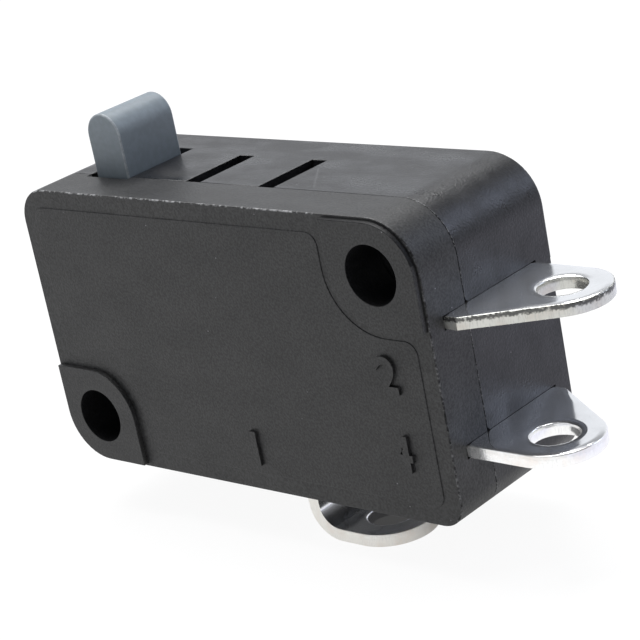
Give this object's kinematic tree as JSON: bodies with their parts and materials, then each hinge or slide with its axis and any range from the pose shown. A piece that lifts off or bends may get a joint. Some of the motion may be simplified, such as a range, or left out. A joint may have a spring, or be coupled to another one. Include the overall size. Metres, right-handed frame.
{
  "type": "plunger micro switch",
  "caption": "Changeover micro switch: moulded body with diagonal mounting holes, a bar plunger on top, eyelet solder lugs at the end and underside, coil spring snap action inside.",
  "frame": {"origin": "axis of the lower mounting hole at mid thickness, the data sheet datum of such switches", "axes": "+X along the body to the side lugs, +Y along the mounting holes to the back of the case, +Z to the plunger"},
  "size_m": [0.0337, 0.0104, 0.0224],
  "materials": {
    "case": "fine matt mould texture",
    "cover": "fine matt mould texture",
    "plunger": "satin",
    "actuating_lever": "natural nylon",
    "lever_pin": "ground",
    "contact_arm": "rolled",
    "moving_contact": "silver alloy, satin",
    "snap_spring": "drawn wire",
    "pivot_bracket": "rolled",
    "bracket_rivets": "headed",
    "common_terminal": "bright tin plate",
    "nc_terminal": "bright tin plate",
    "no_terminal": "bright tin plate",
    "nc_contact": "silver alloy, satin",
    "no_contact": "silver alloy, satin"
  },
  "bodies": {
    "housing": {"case": "case", "cover": "cover", "lever_pin": "lever_pin", "pivot_bracket": "pivot_bracket", "bracket_rivets": "bracket_rivets", "common_terminal": "common_terminal", "nc_terminal": "nc_terminal", "no_terminal": "no_terminal", "nc_contact": "nc_contact", "no_contact": "no_contact"},
    "button": {"plunger": "plunger"},
    "lever": {"actuating_lever": "actuating_lever"},
    "arm": {"contact_arm": "contact_arm", "moving_contact": "moving_contact", "snap_spring": "snap_spring"}
  },
  "joints": [
    {"name": "plunger_slide", "type": "slide", "parent": "housing", "child": "button", "axis": [0, 0, -1], "range_m": [0, 0.0022], "stiffness_N_per_m": 900, "springref_m": -0.0018},
    {"name": "lever_turn", "type": "hinge", "parent": "housing", "child": "lever", "pos_m": [-0.00055, 0, 0.0072], "axis": [0, 1, 0], "range_deg": [0, 25.18], "deforming": ["snap_spring"]},
    {"name": "arm_turn", "type": "hinge", "parent": "housing", "child": "arm", "pos_m": [0.0068, 0, 0.00562], "axis": [0, 1, 0], "range_deg": [0, 5.21]}
  ],
  "couplings": [
    {"joint": "lever_turn", "follows": "plunger_slide", "rad_per_m": 199.68},
    {"joint": "arm_turn", "follows": "plunger_slide", "rad_per_m": 41.253}
  ]
}
